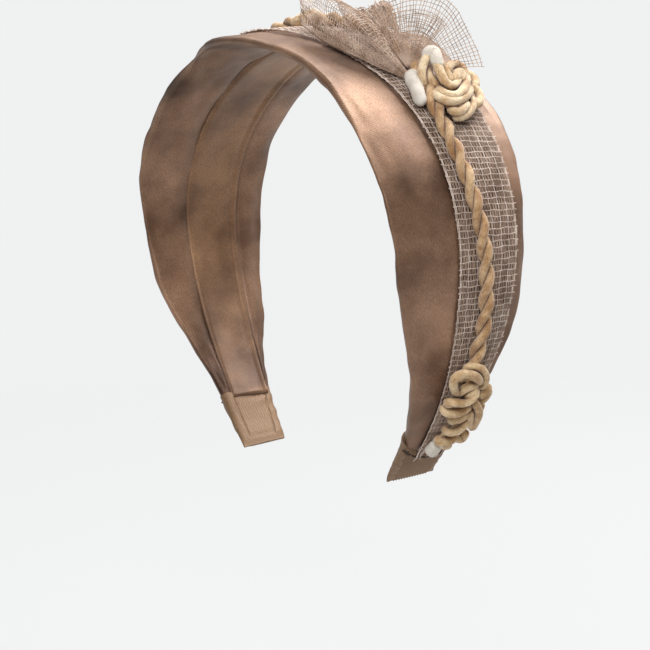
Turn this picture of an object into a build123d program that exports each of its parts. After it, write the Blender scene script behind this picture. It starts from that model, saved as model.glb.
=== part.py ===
"""Knotted fabric headband: a wide padded band in satin, open at the bottom, dressed with a
strip of open net, a twisted cord that is tied in chain knots, and a small bow of gathered net.

Millimetres, +Z up.  The origin is on the lining at the top of the arch, where the band sits
on a head.  +X runs from ear to ear, towards the side with the bow, and -Y is the front.
A place on the band is given by s, the length along its outer face from the top of the arch
(+ towards +X), by y across the band, and by lift, the height over the outer face.
The band flexes at its two shoulders, so every layer is made as a crown and two arms.
"""
from math import cos, pi, radians, sin, sqrt, tan
import os

from build123d import *

# --- the arch: three tangent arcs on each side, measured on the outer face ----------------
CROWN_RADIUS, CROWN_TURN = 86.0, 47.5
SHOULDER_RADIUS, SHOULDER_TURN = 52.0, 50.8
LEG_RADIUS, LEG_TURN = 100.0, 43.9
ARCH_ARCS = [(CROWN_RADIUS, CROWN_TURN), (SHOULDER_RADIUS, SHOULDER_TURN), (LEG_RADIUS, LEG_TURN)]
ARCH_HALF = sum(radius * radians(turn) for radius, turn in ARCH_ARCS)

# --- where things end along the arch --------------------------------------------------------
FLEX_AT = 80.0          # the shoulder where an arm flexes
BAND_GAP = 1.2          # gap between crown and arm layers there
CAP_AT = 174.6          # mouth of the end cap
CORE_END = 191.5        # the core strip stops inside the cap
TIP_AT = ARCH_HALF - 0.2

# --- thicknesses, from the outer face inwards --------------------------------------------------
CLOTH = 0.7             # satin with its interfacing
CORE_THICK = 1.6
BAND_THICK = 4.4        # outer face to the flaps' inner face
LINING_THICK = 0.6
NET_THICK = 0.6
EASE = 0.05             # slack between layers inside the cover
CAP_STEP = 0.4          # the cap stands this much proud of the cover
OUTER_TOP = BAND_THICK + LINING_THICK

# --- shape across the band: (s, value) pairs ----------------------------------------------------
HALF_WIDTH = [(0, 33.9), (39, 26.8), (87, 25.1), (136, 19.4), (170, 10.2), (194, 7.8)]
CROWN_RISE = [(0, 2.1), (60, 2.0), (130, 2.0), (176, 1.1), (194, 0.9)]
RIGHT_SWAY = [(0, -0.2), (87, -4.8), (145, -2.0), (194, 1.7)]
LEFT_SWAY = [(0, -0.2), (87, -0.5), (145, 1.0), (194, -0.8)]
CORE_HALF = [(0, 11.0), (110, 10.0), (175, 6.2), (194, 5.4)]
LINING_HALF = [(0, 10.6), (110, 9.8), (175, 7.2)]
LINING_SHIFT = [(0, 4.4), (70, 3.6), (116, 2.1), (175, 0.6)]
NET_HALF = [(0, 19.0), (40, 16.0), (62, 12.4), (136, 9.4), (175, 3.2)]
NET_SHIFT = [(0, -1.2), (58, 1.4), (136, 3.2), (175, -0.6)]
FLAP_TUCK = 3.0         # how far each flap runs under the lining

# --- cord, knots and bindings -----------------------------------------------------------------
CORD_RADIUS = 2.1
STRAND_RADIUS = 1.7     # one cord of a knot
REST = 0.3              # slack under whatever is sewn on top of the net strip
CROWN_CORD = [(-78.7, -5.2), (-64, -4.6), (-48, -3.0), (-31, -2.2), (-14, -1.8), (3, -0.4),
              (20, 2.4), (36, 2.8), (50, 0.4), (62, -3.4), (78.7, -5.2)]
ARM_CORD = [(81.3, -5.0), (95, -3.0), (110, -0.7), (126, 1.2), (141, 1.2)]
CORD_LIFT = NET_THICK + CORD_RADIUS + 0.7


def through(stops, s):
    """Smooth curve through (s, value) stops, read at s."""
    s = min(max(s, stops[0][0]), stops[-1][0])
    i = max(k for k in range(len(stops) - 1) if stops[k][0] <= s)

    def slope(k):
        if stops[k][0] == 0:
            return 0.0  # the arch is level and even at its top
        a, b = stops[max(k - 1, 0)], stops[min(k + 1, len(stops) - 1)]
        return (b[1] - a[1]) / (b[0] - a[0])

    (s0, v0), (s1, v1) = stops[i], stops[i + 1]
    run = s1 - s0
    t = (s - s0) / run
    ease = t * t * (3 - 2 * t)
    return (v0 + (v1 - v0) * ease + run * t * (1 - t) * ((1 - t) * slope(i) - t * slope(i + 1)))


def arch_plane(s):
    """Plane square to the arch at s, on the outer face: local x across (+Y), local y outwards."""
    side = 1 if s >= 0 else -1
    left, turned, x, z = abs(s), 0.0, 0.0, OUTER_TOP
    for radius, turn in ARCH_ARCS:
        step = min(left, radius * radians(turn))
        end = turned + step / radius
        x += radius * (sin(end) - sin(turned))
        z -= radius * (cos(turned) - cos(end))
        turned = end
        left -= step
    return Plane(origin=(side * x, 0, z), x_dir=(0, 1, 0), z_dir=(cos(turned), 0, -side * sin(turned)))


def sway(s):
    """How far the middle of the band wanders from the Y = 0 plane."""
    return through(RIGHT_SWAY if s >= 0 else LEFT_SWAY, abs(s))


def rim(s, grow=0.0):
    """Rise of the outer face, rim thickness, and where the rounded rims begin at s."""
    rise = through(CROWN_RISE, abs(s))
    thick = BAND_THICK - rise + 2 * grow
    return rise, thick, through(HALF_WIDTH, abs(s)) + grow - thick / 2


def face_height(s, y):
    """Height of the domed outer face at y, from its middle line."""
    rise, _, reach = rim(s)
    dome = (reach * reach + rise * rise) / (2 * rise)
    return sqrt(dome * dome - (y - sway(s)) ** 2) - dome


def on_band(s, y, lift):
    """World point at s, y and lift."""
    return arch_plane(s).from_local_coords(Vector(y, face_height(s, y) + lift, 0))


def polyline(*points):
    return [Line(a, b) for a, b in zip(points, points[1:])]


def hull_outline(s, grow=0.0):
    """Closed outline of the whole band at s: domed outside, round rims, flat inside."""
    rise, thick, reach = rim(s, grow)
    mid = sway(s)
    top, low = grow, -rise - thick + grow
    return [
        ThreePointArc((mid - reach, grow - rise), (mid, top), (mid + reach, grow - rise)),
        ThreePointArc((mid + reach, grow - rise), (mid + reach + thick / 2, grow - rise - thick / 2),
                      (mid + reach, low)),
        Line((mid + reach, low), (mid - reach, low)),
        ThreePointArc((mid - reach, low), (mid - reach - thick / 2, grow - rise - thick / 2),
                      (mid - reach, grow - rise)),
    ]


def cover_outline(s):
    """The satin at s: outer wall, both rims and the two flaps that end under the lining."""
    rise, thick, reach = rim(s)
    mid = sway(s)
    back, front = lining_span(s)
    flap_back, flap_front = back - FLAP_TUCK, front + FLAP_TUCK
    low, bend = -BAND_THICK, -rise - thick / 2
    right, left, turn = mid + reach, mid - reach, thick / 2
    return [
        ThreePointArc((left, -rise), (mid, 0), (right, -rise)),
        ThreePointArc((right, -rise), (right + turn, bend), (right, low)),
        *polyline((right, low), (flap_back, low), (flap_back, low + CLOTH), (right, low + CLOTH)),
        ThreePointArc((right, low + CLOTH), (right + turn - CLOTH, bend), (right, -rise - CLOTH)),
        ThreePointArc((right, -rise - CLOTH), (mid, -CLOTH), (left, -rise - CLOTH)),
        ThreePointArc((left, -rise - CLOTH), (left - turn + CLOTH, bend), (left, low + CLOTH)),
        *polyline((left, low + CLOTH), (flap_front, low + CLOTH), (flap_front, low), (left, low)),
        ThreePointArc((left, low), (left - turn, bend), (left, -rise)),
    ]


def pad_outline(s):
    """The wadding at s: it fills the cover around three sides of the core strip."""
    rise, thick, reach = rim(s)
    mid, half = sway(s), through(CORE_HALF, abs(s)) + EASE
    wall = CLOTH + EASE
    low, bend = wall - BAND_THICK, -rise - thick / 2
    right, left, turn = mid + reach, mid - reach, thick / 2 - wall
    shelf = low + CORE_THICK + EASE
    return [
        ThreePointArc((left, -rise - wall), (mid, -wall), (right, -rise - wall)),
        ThreePointArc((right, -rise - wall), (right + turn, bend), (right, low)),
        *polyline((right, low), (mid + half, low), (mid + half, shelf), (mid - half, shelf),
                  (mid - half, low), (left, low)),
        ThreePointArc((left, low), (left - turn, bend), (left, -rise - wall)),
    ]


def core_outline(s, slack=0.0):
    mid, half = sway(s), through(CORE_HALF, abs(s)) + slack
    low = CLOTH + EASE - BAND_THICK
    return box_outline(mid - half, mid + half, low - slack, low + CORE_THICK + slack)


def lining_span(s):
    """Back and front edge of the lining strip at s."""
    mid, half = sway(s) + through(LINING_SHIFT, abs(s)), through(LINING_HALF, abs(s))
    return mid + half, mid - half


def lining_outline(s):
    back, front = lining_span(s)
    return box_outline(front, back, -BAND_THICK - LINING_THICK, -BAND_THICK - EASE)


def box_outline(y0, y1, n0, n1):
    return polyline((y0, n1), (y1, n1), (y1, n0), (y0, n0), (y0, n1))


def net_outline(s):
    """The net strip at s, lying on the domed outer face."""
    mid, half = through(NET_SHIFT, abs(s)), through(NET_HALF, abs(s))
    low = [(y, face_height(s, y) + EASE) for y in (mid - half, mid, mid + half)]
    high = [(y, n + NET_THICK - EASE) for y, n in low]
    return [ThreePointArc(*high), Line(high[2], low[2]), ThreePointArc(*low), Line(low[0], high[0])]


def layer(outline, start, stop, step=8.0):
    """Loft one layer of the band from s = start to s = stop."""
    count = max(2, round(abs(stop - start) / step))
    stations = [start + (stop - start) * i / count for i in range(count + 1)]
    return loft([arch_plane(s) * make_face(outline(s)) for s in stations])


def tube(stops, side, radius):
    """A cord sewn down along the (s, y) stops: straight runs joined by large tangent arcs."""
    points = [on_band(side * s, y, CORD_LIFT) for s, y in stops]
    radii = []
    for a, b, c in zip(points, points[1:], points[2:]):
        turn = radians((b - a).get_angle(c - b))
        radii.append(0.45 * min((b - a).length, (c - b).length) / tan(turn / 2))
    path = FilletPolyline(*points, radius=radii)
    start = Plane(origin=path @ 0, z_dir=path % 0)
    body = sweep(start * Circle(radius), path=path)
    expected = path.length * pi * radius**2
    print(f"cord: smallest bend {min(radii):.1f} mm, volume {body.volume / expected:.3f} of its section")
    return body


def ring(s, y, lift, size, lean):
    """One round turn of knotted cord; a lean of 0 stands across the arch and 90 lies flat."""
    place = arch_plane(s) * Location((y, face_height(s, y) + lift, 0), (lean, 0, 0))
    return place * Torus(size, STRAND_RADIUS)


def strand(s0, y0, s1, y1, lift, radius):
    """A straight stub of cord or wrapping from (s0, y0) to (s1, y1), with round ends."""
    a, b = on_band(s0, y0, lift), on_band(s1, y1, lift)
    rod = Cylinder(radius, (b - a).length - 2 * radius)
    ball = Pos(0, 0, (b - a).length / 2 - radius) * Sphere(radius)
    return Plane(origin=(a + b) / 2, z_dir=b - a) * (rod + ball + Rot(180, 0, 0) * ball)


def upper_knot(mid_s, mid_y):
    """A rosette: three turns of cord side by side, and a fourth on top of them."""
    size = 2.65
    seat = NET_THICK + REST + STRAND_RADIUS
    apart = 2 * (size + STRAND_RADIUS) + 0.2
    turns = [ring(mid_s, mid_y, seat + 2 * STRAND_RADIUS + REST, 3.1, 90)]
    for i in range(3):
        around = radians(120 * i)
        s = mid_s + apart / sqrt(3) * cos(around)
        turns.append(ring(s, mid_y + apart / sqrt(3) * sin(around), seat, size, 90))
    return Compound(children=turns)


def lower_knot(side, start_s, start_y, count=5, pitch=5.0, lean=35):
    """A chain of turns that lean on one another like tiles, smaller towards the tip."""
    turns = []
    for i in range(count):
        size = 3.9 - 0.3 * i
        lift = NET_THICK + 2 * REST + STRAND_RADIUS + size * cos(radians(lean))
        turns.append(ring(side * (start_s + pitch * i), start_y + 0.55 * i, lift, size, side * lean))
    return Compound(children=turns)


def end_cap(side):
    """The satin pocket over the end, open at its mouth for the core strip."""
    solid = layer(lambda s: hull_outline(s, CAP_STEP), side * (CAP_AT + 0.02), side * TIP_AT, 5.0)
    pocket = layer(lambda s: core_outline(s, 2 * EASE), side * (CAP_AT + 0.02), side * CORE_END, 5.0)
    return solid - pocket


def cap_stitches(side, length=1.8, pitch=2.9, radius=0.28):
    """A row of hand stitches across the mouth of the cap."""
    s = side * (CAP_AT + 1.6)
    _, _, reach = rim(s)
    count = int(2 * reach / pitch)
    row = []
    for i in range(count):
        y = sway(s) + pitch * (i - (count - 1) / 2)
        a = on_band(s, y - length / 2, CAP_STEP + EASE + radius)
        b = on_band(s, y + length / 2, CAP_STEP + EASE + radius)
        row.append(Plane(origin=(a + b) / 2, z_dir=b - a) * Cylinder(radius, (b - a).length))
    return Compound(children=row)


# --- the bow: a wrapped throat, a rolled front lobe, a frayed tuft and an upright fan -----------------
THROAT_RADIUS = 2.7
WING_STOPS = [           # centre, half width across, half height
    ((49.6, -7.6, -7.4), 2.6, 1.7),
    ((44.6, -9.8, -2.8), 5.6, 3.2),
    ((36.6, -10.2, 3.0), 8.4, 4.2),
    ((26.4, -9.8, 8.2), 9.2, 4.6),
    ((15.0, -9.0, 12.2), 8.4, 3.8),
    ((6.6, -8.4, 14.8), 5.6, 2.0),
]
TUFT_STOPS = [((43.5, 2.4, 0.5), 1.6, 1.2), ((37.0, 4.4, 7.0), 3.4, 1.8), ((28.5, 6.0, 12.4), 4.6, 1.4)]
FAN_FOOT = (49.0, 1.2, -3.4)
FAN_SPREAD = (0.56, 0.83, 0)
FAN_THICK = 1.4


def lobe(stops):
    """A soft lobe lofted through flat ovals that stand square to its middle line."""
    middle = Spline([Vector(*centre) for centre, _, _ in stops])
    ovals = []
    for centre, across, up in stops:
        heading = middle.tangent_at(middle.param_at_point(Vector(*centre)))
        plane = Plane(origin=centre, x_dir=Vector(0, 1, 0) - heading * heading.Y, z_dir=heading)
        ovals.append(plane * Ellipse(across, up))
    return loft(ovals)


def net_fan():
    """The upright lobe: a thin petal with a pointed back corner."""
    spread = Vector(*FAN_SPREAD).normalized()
    outline = [
        Line((-3.5, 1.0), (-6.5, 14.0)),
        ThreePointArc((-6.5, 14.0), (6.5, 17.5), (16.5, 7.0)),
        Line((16.5, 7.0), (19.6, -6.0)),
        ThreePointArc((19.6, -6.0), (8.0, 0.0), (-3.5, 1.0)),
    ]
    plane = Plane(origin=FAN_FOOT, x_dir=spread, z_dir=spread.cross(Vector(0, 0, 1)))
    return plane * extrude(make_face(outline), FAN_THICK / 2, both=True)


# --- write every sub-part ---------------------------------------------------------------------------
os.makedirs("parts", exist_ok=True)


def write(name, shape):
    export_step(shape, f"parts/{name}.step")


LAYERS = {
    "core": core_outline,
    "pad": pad_outline,
    "cover": cover_outline,
    "lining": lining_outline,
    "net_strip": net_outline,
}
for name, outline in LAYERS.items():
    near = FLEX_AT - BAND_GAP / 2
    far = FLEX_AT + BAND_GAP / 2
    outer_end = CORE_END if name == "core" else CAP_AT
    write(f"{name}_crown", layer(outline, -near, near))
    write(f"{name}_right", layer(outline, far, outer_end))
    write(f"{name}_left", layer(outline, -far, -outer_end))

write("cord_crown", tube(CROWN_CORD, 1, CORD_RADIUS))
for name, side in (("right", 1), ("left", -1)):
    write(f"cord_{name}", tube(ARM_CORD, side, CORD_RADIUS))
    write(f"knot_lower_{name}", lower_knot(side, 147.5, 0.8))
    write(f"cord_end_{name}", strand(side * 172.0, -1.6, side * 180.0, -1.8, 3.3, 2.2))
    write(f"end_cap_{name}", end_cap(side))
    write(f"cap_stitches_{name}", cap_stitches(side))

write("knot_upper_right", upper_knot(65.0, 8.0))
write("knot_upper_left", upper_knot(-12.0, 9.8))
write("bow_binding", strand(57.0, -7.6, 67.5, -9.8, NET_THICK + REST + THROAT_RADIUS, THROAT_RADIUS))
write("loop_tip_binding", strand(54.8, -2.0, 57.6, 2.8, NET_THICK + 8.4, 2.3))
write("net_wing", lobe(WING_STOPS))
write("bow_tuft", lobe(TUFT_STOPS))
write("net_fan", net_fan())
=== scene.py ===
# %% [markdown]
# A padded headband in taupe satin, dressed with a strip of open net, a twisted cord tied in
# chain knots and a small bow of gathered net.  The CAD frame brings the sizes and the joints;
# this file gives every piece its cloth, thread or cord.  Work is in metres, +Z up, and the
# origin is on the lining at the top of the arch.

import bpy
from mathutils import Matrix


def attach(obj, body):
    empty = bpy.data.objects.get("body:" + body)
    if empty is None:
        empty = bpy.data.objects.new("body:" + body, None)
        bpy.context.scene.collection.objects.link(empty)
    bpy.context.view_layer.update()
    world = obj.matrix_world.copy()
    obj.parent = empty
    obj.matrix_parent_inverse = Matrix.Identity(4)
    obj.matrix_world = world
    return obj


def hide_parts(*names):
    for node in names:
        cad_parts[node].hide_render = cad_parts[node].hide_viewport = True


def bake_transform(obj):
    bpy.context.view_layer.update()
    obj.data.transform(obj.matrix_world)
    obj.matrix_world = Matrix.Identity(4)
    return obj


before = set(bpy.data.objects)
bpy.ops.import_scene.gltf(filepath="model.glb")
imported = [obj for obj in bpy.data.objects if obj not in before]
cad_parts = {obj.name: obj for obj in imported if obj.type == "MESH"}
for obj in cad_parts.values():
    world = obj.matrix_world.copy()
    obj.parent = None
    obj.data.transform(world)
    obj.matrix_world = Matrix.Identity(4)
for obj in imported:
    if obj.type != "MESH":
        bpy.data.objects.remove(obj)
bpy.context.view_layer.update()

# %% [markdown]
# First the tools.  Blender's shaders work in linear light, while cloth colours are chosen as
# sRGB hex codes, so one function turns one into the other.  Another adds a shader node of any
# kind, a third starts a material, and the last paints shade into a colour in hollows, where
# little light gets in, as all the cloth here needs.

# %% Tools for materials
import math

import bpy
import numpy as np
from mathutils import Matrix, Vector

MM = 0.001
ARMS = ((1, "right"), (-1, "left"))


def linear(code):
    """An sRGB hex colour as linear red, green, blue and alpha."""
    shares = [int(code[i : i + 2], 16) / 255 for i in (0, 2, 4)]
    return [c / 12.92 if c <= 0.04045 else ((c + 0.055) / 1.055) ** 2.4 for c in shares] + [1.0]


def add(tree, kind, values=None, links=None, stops=(), **settings):
    """One shader node: its settings, socket values, what feeds them and a ramp's colour stops."""
    node = tree.nodes.new(kind)
    for name, value in settings.items():
        setattr(node, name, value)
    for socket, value in (values or {}).items():
        node.inputs[socket].default_value = value
    for socket, source in (links or {}).items():
        tree.links.new(source, node.inputs[socket])
    for number, (position, code) in enumerate(stops):
        node.color_ramp.elements[number].position = position
        node.color_ramp.elements[number].color = linear(code)
    return node


def paint_hollow_shade(tree, colour, reach_mm, stops, samples, only_local=False):
    """A colour with painted shade in its hollows, where little light gets in."""
    hollow = add(tree, "ShaderNodeAmbientOcclusion", {"Distance": reach_mm * MM}, samples=samples,
                 only_local=only_local)
    shade = add(tree, "ShaderNodeValToRGB", links={"Fac": hollow.outputs["AO"]}, stops=stops)
    links = {0: colour, 1: shade.outputs["Color"]}
    return add(tree, "ShaderNodeVectorMath", links=links, operation="MULTIPLY").outputs["Vector"]


def surface(name, values):
    """A new material, its node tree and its Principled shader with these socket values."""
    material = bpy.data.materials.new(name)
    material.use_nodes = True
    shader = material.node_tree.nodes["Principled BSDF"]
    for socket, value in values.items():
        shader.inputs[socket].default_value = value
    return material, material.node_tree, shader


print("black and white in linear light:", linear("000000")[0], linear("ffffff")[0])

# %% [markdown]
# Satin is woven so that long threads float over the face.  They act like rows of tiny brown
# mirrors: the cloth shows bright where it mirrors a lamp or the pale floor and dark where it
# mirrors the room, and that sheen has the cloth's own colour.  A shader that is partly metallic
# does the same, and the matt caps are hardly metallic at all.  The gloss is stretched across the
# threads (anisotropic) and follows the cloth's own UV map, which is in metres.  The real threads
# are 0.1 mm apart and too fine to see, so the twill line of the weave is drawn at 0.6 mm.  Wide
# clouds of tone stand for pressing marks and are also painted light and shade, the patchy sheen
# of pressed satin.  Narrow folds, and the cloth under the net and cord, get painted shade where
# little light gets in.


# %% Satin
TWILL_TURN = math.radians(38)
SLUB_MM = (1.1, 0.35)
# Colour stops of the painted shade in folds and under the net and cord.
FOLD_SHADE = ((0.1, "6a4a36"), (0.8, "ffffff"))


def satin(name, light, dark, roughness, metallic, twill_mm=0.6):
    """Satin between two tones, with the twill lines this far apart."""
    material, tree, shader = surface(
        name,
        {"Roughness": roughness, "Metallic": metallic, "Specular IOR Level": 0.5, "Sheen Weight": 0.12,
         "Sheen Roughness": 0.5, "Anisotropic": 0.35},
    )
    place = add(tree, "ShaderNodeTexCoord")
    # Painted light and shade: wide clouds between the dark and light tones, for pressing marks and the patchy
    # sheen of pressed satin.
    values = {"Scale": 42.0, "Detail": 4.0, "Roughness": 0.55}
    shade_clouds = add(tree, "ShaderNodeTexNoise", values, {"Vector": place.outputs["Object"]})
    tone = add(tree, "ShaderNodeValToRGB", links={"Fac": shade_clouds.outputs["Fac"]},
               stops=((0.3, dark), (0.7, light)))
    turned = add(tree, "ShaderNodeMapping", {"Rotation": (0, 0, TWILL_TURN)}, {"Vector": place.outputs["UV"]})
    values = {"Scale": math.tau / (20 * twill_mm * MM), "Distortion": 3.5, "Detail": 3.0, "Detail Scale": 2.5}
    lines = add(tree, "ShaderNodeTexWave", values, {"Vector": turned.outputs["Vector"]}, bands_direction="X")
    stretch = add(tree, "ShaderNodeMapping", {"Scale": (1 / (SLUB_MM[0] * MM), 1 / (SLUB_MM[1] * MM), 1.0)},
                  {"Vector": place.outputs["UV"]})
    values = {"Scale": 1.0, "Detail": 2.0, "Roughness": 0.6}
    slubs = add(tree, "ShaderNodeTexNoise", values, {"Vector": stretch.outputs["Vector"]})
    links = {0: lines.outputs["Fac"], 2: slubs.outputs["Fac"]}
    height = add(tree, "ShaderNodeMath", {1: 0.4}, links, operation="MULTIPLY_ADD").outputs[0]
    values = {"From Min": 0.35, "From Max": 1.05, "To Min": 0.58, "To Max": 1.4}
    speck = add(tree, "ShaderNodeMapRange", values, {"Value": height})
    links = {0: tone.outputs["Color"], 1: speck.outputs["Result"]}
    colour = add(tree, "ShaderNodeVectorMath", links=links, operation="MULTIPLY").outputs["Vector"]
    # Painted shade in the folds and under nearby pieces, from ambient occlusion.
    colour = paint_hollow_shade(tree, colour, 1.5, FOLD_SHADE, samples=6)
    relief = add(tree, "ShaderNodeBump", {"Strength": 0.4, "Distance": 0.06 * MM}, {"Height": height})
    tree.links.new(colour, shader.inputs["Base Color"])
    tree.links.new(relief.outputs["Normal"], shader.inputs["Normal"])
    grain = add(tree, "ShaderNodeTangent", direction_type="UV_MAP", uv_map="cloth")
    tree.links.new(grain.outputs["Tangent"], shader.inputs["Tangent"])
    return material


# Woven polyester satin, pulled tight: a broad brown sheen that turns dark at the sides, over wide clouds of
# painted light and shade.
cover_satin = satin("taupe_satin", "a27d62", "4c311e", 0.44, metallic=0.38)
# The same weave on the lining strip, paler and a little duller, with the same painted light and shade.
lining_satin = satin("lining_satin", "aa8260", "5a3d27", 0.48, metallic=0.3)
# A finer, matt satin on the caps: an even grey-brown with hardly a highlight.
cap_satin = satin("cap_satin", "8a6b4d", "846548", 0.6, metallic=0.1, twill_mm=0.4)
print("satins:", cover_satin.name, lining_satin.name, cap_satin.name)

# %% [markdown]
# Threads and cords are spun fibre: rough, with fine lines that wind along the yarn and a soft
# glow of loose hairs at the edge, which the shader's sheen gives.  Their UV map runs along the
# yarn and round it, in metres, so the lines keep their scale on a thread and on a thick cord.
# Where strands press together little light gets in, so thick yarn gets painted shade in its hollows.


# %% Yarn
def yarn(name, light, dark, line_mm, length_mm, relief_mm, sheen=0.35, crevice_shade=None):
    """Spun fibre between two tones, with lines this wide, long and deep."""
    values = {"Roughness": 0.82, "Specular IOR Level": 0.2, "Sheen Weight": sheen, "Sheen Roughness": 0.6}
    material, tree, shader = surface(name, values)
    place = add(tree, "ShaderNodeTexCoord")
    values = {"Scale": (1 / (length_mm * MM), 1 / (line_mm * MM), 1.0), "Rotation": (0, 0, 0.35)}
    along = add(tree, "ShaderNodeMapping", values, {"Vector": place.outputs["UV"]})
    values = {"Scale": 1.0, "Detail": 3.0, "Roughness": 0.65}
    fibres = add(tree, "ShaderNodeTexNoise", values, {"Vector": along.outputs["Vector"]}).outputs["Fac"]
    patches = add(tree, "ShaderNodeTexNoise", {"Scale": 260.0, "Detail": 2.0},
                  {"Vector": place.outputs["Object"]}).outputs["Fac"]
    both = add(tree, "ShaderNodeMath", links={0: fibres, 1: patches}, operation="ADD")
    half = add(tree, "ShaderNodeMath", {1: 0.5}, {0: both.outputs[0]}, operation="MULTIPLY")
    tone = add(tree, "ShaderNodeValToRGB", links={"Fac": half.outputs[0]}, stops=((0.41, dark), (0.6, light)))
    colour = tone.outputs["Color"]
    # Painted shade: the colour is darkened towards the given crevice colour in the yarn's own hollows.
    if crevice_shade:
        stops = ((0.2, crevice_shade), (0.85, "ffffff"))
        colour = paint_hollow_shade(tree, colour, 2.2, stops, samples=8, only_local=True)
    relief = add(tree, "ShaderNodeBump", {"Strength": 0.6, "Distance": relief_mm * MM}, {"Height": fibres})
    tree.links.new(colour, shader.inputs["Base Color"])
    tree.links.new(relief.outputs["Normal"], shader.inputs["Normal"])
    return material


# Twisted rayon cord: soft, deep grooves between pale strands, with warm, dark painted shade in them.
cord_yarn = yarn("caramel_cord_yarn", "dcb98e", "a2764a", 0.22, 0.9, 0.4, crevice_shade="6b411c")
# The knots are tied from the same cord: these two lighter copies of its yarn are painted light, so the knots
# show brighter than the cord.
upper_knot_yarn_painted_light = yarn("cord_yarn_painted_light_upper_knots", "f4ddb8", "bf9768", 0.25, 1.0, 0.4, crevice_shade="6a3f18")
lower_knot_yarn_painted_light = yarn("cord_yarn_painted_light_lower_knots", "efd3a8", "b88e5c", 0.22, 0.9, 0.4, crevice_shade="6a3f18")
# Thin spun net threads, brown along the strip and pale across it: dull, with almost no relief.
warp_yarn = yarn("brown_net_thread", "c2aa97", "876d5a", 0.12, 0.8, 0.05, sheen=0.2)
weft_yarn = yarn("pale_net_thread", "ead9cd", "bfab9d", 0.12, 0.8, 0.05, sheen=0.3)
bow_yarn = yarn("taupe_bow_thread", "dcc4b1", "a6876f", 0.12, 0.8, 0.05, sheen=0.3)
# Bleached cotton wrapping: chalky white, with grey painted shade between its turns.
cotton = yarn("white_cotton", "ece5da", "cfc4b5", 0.25, 1.5, 0.12, sheen=0.3, crevice_shade="b39c82")
# Sewing thread: a dark line with no sheen to speak of.
stitch_thread = yarn("dark_stitch_thread", "4a3229", "2e1d17", 0.12, 0.6, 0.04, sheen=0.1)
print("yarns:", [m.name for m in (cord_yarn, upper_knot_yarn_painted_light, lower_knot_yarn_painted_light, warp_yarn, weft_yarn, bow_yarn)])
print("cotton and stitches:", cotton.name, stitch_thread.name)

# %% [markdown]
# The core strip is a moulded plastic strip inside the band.  It is never seen on a finished
# headband, but a part in a library can be opened, so it gets the fine grain of a moulding.

# %% Moulded plastic for the core strips
# Moulded polypropylene, dark grey: smooth and half matt, with a grain like fine sand.
core_plastic, tree, shader = surface(
    "moulded_core_plastic", {"Base Color": linear("3a3532"), "Roughness": 0.5, "Specular IOR Level": 0.4}
)
place = add(tree, "ShaderNodeTexCoord")
grain = add(tree, "ShaderNodeTexNoise", {"Scale": 1500.0, "Detail": 2.0}, {"Vector": place.outputs["Object"]})
relief = add(tree, "ShaderNodeBump", {"Strength": 0.3, "Distance": 0.05 * MM}, {"Height": grain.outputs["Fac"]})
tree.links.new(relief.outputs["Normal"], shader.inputs["Normal"])
for name in ("core_crown", "core_right", "core_left"):
    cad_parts[name].data.materials.clear()
    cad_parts[name].data.materials.append(core_plastic)
print("core strips wear", core_plastic.name)

# %% [markdown]
# Everything on the band is placed by three numbers: s, the length along the outer face from
# the top of the arch, y across it, and lift, the height over the face.  The arch is three
# tangent arcs a side, so a place is found by walking round the arcs.  All three are in mm.

# %% The arch
OUTER_TOP = 5.0
ARCS = [(86.0, 47.5), (52.0, 50.8), (100.0, 43.9)]  # radius, and turn in degrees
HALF_LENGTH = sum(radius * math.radians(turn) for radius, turn in ARCS)
BAND_THICK = 4.4
# Tables of stops hold pairs of s and a value, both in mm.
HALF_WIDTH = [(0, 33.9), (39, 26.8), (87, 25.1), (136, 19.4), (170, 10.2), (194, 7.8)]
CROWN_RISE = [(0, 2.1), (60, 2.0), (130, 2.0), (176, 1.1), (194, 0.9)]
RIGHT_SWAY = [(0, -0.2), (87, -4.8), (145, -2.0), (194, 1.7)]
LEFT_SWAY = [(0, -0.2), (87, -0.5), (145, 1.0), (194, -0.8)]


def follow(stops, s):
    """A smooth curve through (s, value) stops, read at every s of an array."""
    s = np.clip(np.abs(s), stops[0][0], stops[-1][0])
    at, value = np.array(stops, float).T
    order = np.arange(len(at))
    a, b = np.maximum(order - 1, 0), np.minimum(order + 1, len(at) - 1)
    slope = np.where(at == 0, 0.0, (value[b] - value[a]) / (at[b] - at[a]))
    i = np.clip(np.searchsorted(at, s, side="right") - 1, 0, len(at) - 2)
    run = at[i + 1] - at[i]
    t = (s - at[i]) / run
    ease = t * t * (3 - 2 * t)
    bow = run * t * (1 - t) * ((1 - t) * slope[i] - t * slope[i + 1])
    return value[i] + (value[i + 1] - value[i]) * ease + bow


def straight(stops, s):
    """The same stops read straight from one to the next."""
    return np.interp(s, *np.array(stops, float).T)


def read_rows(at, rows, t):
    """Rows of numbers at these places, read straight from one to the next."""
    return np.stack([np.interp(t, at, column) for column in np.asarray(rows, float).T], -1)


def read(stops, s):
    """The smooth curve's value at one s."""
    return float(follow(stops, np.array([float(s)]))[0])


def arch(s):
    """Centre line x and z, and the outward direction, for an array of s."""
    side = np.where(np.asarray(s) >= 0, 1.0, -1.0)
    left = np.abs(s)
    turned, x, z = np.zeros_like(left), np.zeros_like(left), np.full_like(left, OUTER_TOP)
    for radius, turn in ARCS:
        step = np.minimum(left, radius * math.radians(turn))
        end = turned + step / radius
        x = x + radius * (np.sin(end) - np.sin(turned))
        z = z - radius * (np.cos(turned) - np.cos(end))
        turned, left = end, left - step
    x, z = x + left * np.cos(turned), z - left * np.sin(turned)
    return side * x, z, side * np.sin(turned), np.cos(turned)


def sway(s):
    return np.where(np.asarray(s) >= 0, follow(RIGHT_SWAY, s), follow(LEFT_SWAY, s))


def sway_at(s):
    """The sway at one s."""
    return float(sway(np.array([s]))[0])


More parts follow.
